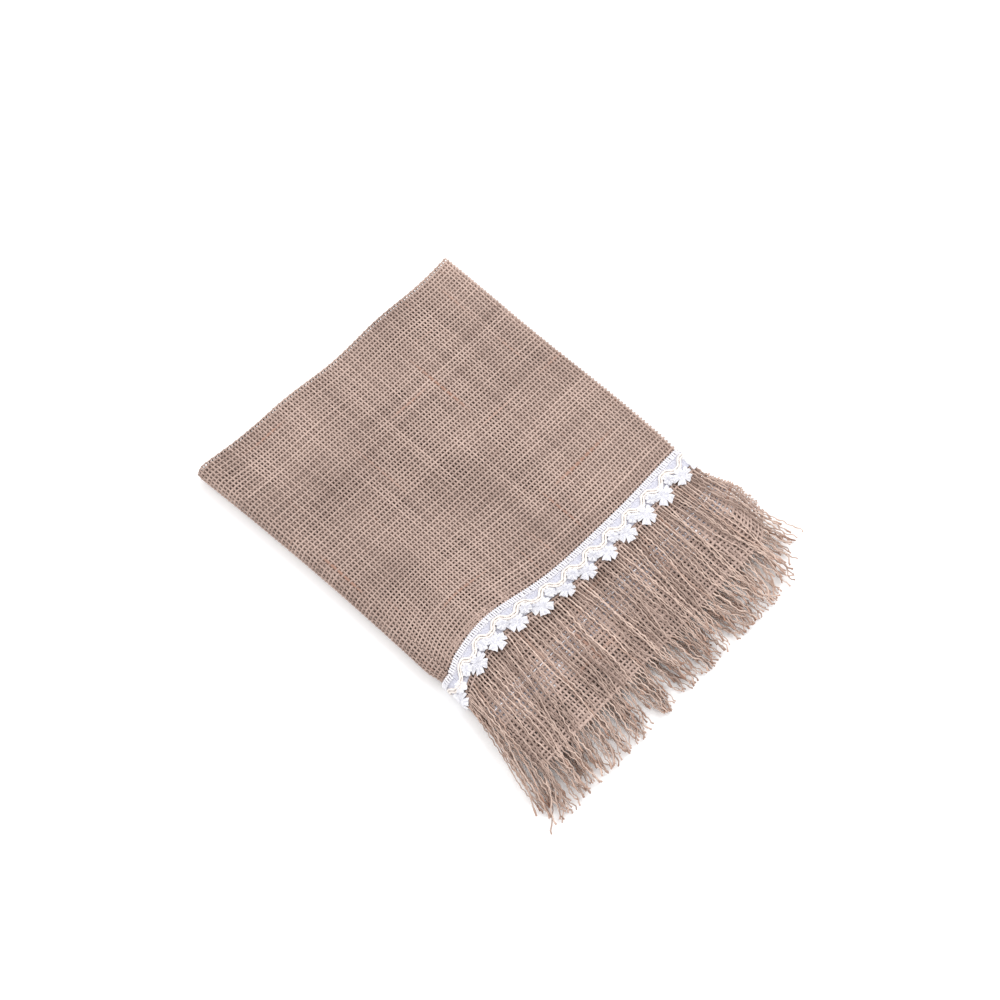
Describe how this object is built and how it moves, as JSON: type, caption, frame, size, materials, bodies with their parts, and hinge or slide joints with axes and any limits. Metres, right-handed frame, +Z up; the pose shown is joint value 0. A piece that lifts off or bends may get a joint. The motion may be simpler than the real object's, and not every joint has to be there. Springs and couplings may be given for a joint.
{
  "type": "table runner",
  "caption": "Open-weave jute table runner, folded crosswise and then in half lengthwise, with a white gathered braid and a long yarn fringe along each end.",
  "frame": {"origin": "under the middle of the folded runner's bounding box, on the surface it lies on", "axes": "+X along the runner towards its fringed ends, +Y across it towards the selvages, away from the lengthwise fold, +Z up through the folded plies"},
  "size_m": [0.268, 0.1924, 0.0122],
  "materials": {
    "jute_cloth": "open plain weave of natural jute, matt and hairy",
    "jute_fringe": "loose twisted jute yarn, matt, with rust-brown tips",
    "satin_tape": "close-woven tape with a soft sheen",
    "white_thread": "whipped cotton thread, matt",
    "cream_cord": "fine twisted cord with a slight sheen",
    "white_ribbon": "crinkled sheer ribbon, slightly glossy"
  },
  "bodies": {
    "lower_half": {"lower_front_panel": "jute_cloth", "lower_front_mid_panel": "jute_cloth", "lower_back_mid_panel": "jute_cloth", "lower_back_panel": "jute_cloth", "lower_outer_crossfold": "jute_cloth", "lower_inner_crossfold": "jute_cloth", "lower_middle_crossfold": "jute_cloth", "lower_front_trim_tape": "satin_tape", "lower_front_trim_edge": "white_thread", "lower_front_trim_wave_cords": "cream_cord", "lower_front_trim_puffs": "white_ribbon", "lower_front_trim_rosettes": "white_ribbon", "lower_front_trim_ribbon_end": "white_ribbon", "lower_front_stitching": "white_thread", "lower_front_fringe": "jute_fringe", "lower_back_trim_tape": "satin_tape", "lower_back_trim_edge": "white_thread", "lower_back_trim_wave_cords": "cream_cord", "lower_back_trim_puffs": "white_ribbon", "lower_back_trim_rosettes": "white_ribbon", "lower_back_trim_ribbon_end": "white_ribbon", "lower_back_stitching": "white_thread", "lower_back_fringe": "jute_fringe", "front_panel_roll": "jute_cloth", "front_mid_panel_roll": "jute_cloth", "back_mid_panel_roll": "jute_cloth", "back_panel_roll": "jute_cloth", "front_trim_roll": "white_ribbon", "back_trim_roll": "white_ribbon"},
    "upper_half": {"upper_front_panel": "jute_cloth", "upper_front_mid_panel": "jute_cloth", "upper_back_mid_panel": "jute_cloth", "upper_back_panel": "jute_cloth", "upper_outer_crossfold": "jute_cloth", "upper_inner_crossfold": "jute_cloth", "upper_middle_crossfold": "jute_cloth", "upper_front_trim_tape": "satin_tape", "upper_front_trim_edge": "white_thread", "upper_front_trim_wave_cords": "cream_cord", "upper_front_trim_puffs": "white_ribbon", "upper_front_trim_rosettes": "white_ribbon", "upper_front_trim_ribbon_end": "white_ribbon", "upper_front_stitching": "white_thread", "upper_front_fringe": "jute_fringe", "upper_back_trim_tape": "satin_tape", "upper_back_trim_edge": "white_thread", "upper_back_trim_wave_cords": "cream_cord", "upper_back_trim_puffs": "white_ribbon", "upper_back_trim_rosettes": "white_ribbon", "upper_back_trim_ribbon_end": "white_ribbon", "upper_back_stitching": "white_thread", "upper_back_fringe": "jute_fringe"}
  },
  "joints": [
    {"name": "lengthwise_fold", "type": "hinge", "parent": "lower_half", "child": "upper_half", "pos_m": [0, -0.07904, 0.0061], "axis": [1, 0, 0], "range_deg": [0, 180], "deforming": ["front_panel_roll", "front_mid_panel_roll", "back_mid_panel_roll", "back_panel_roll", "front_trim_roll", "back_trim_roll"]}
  ]
}
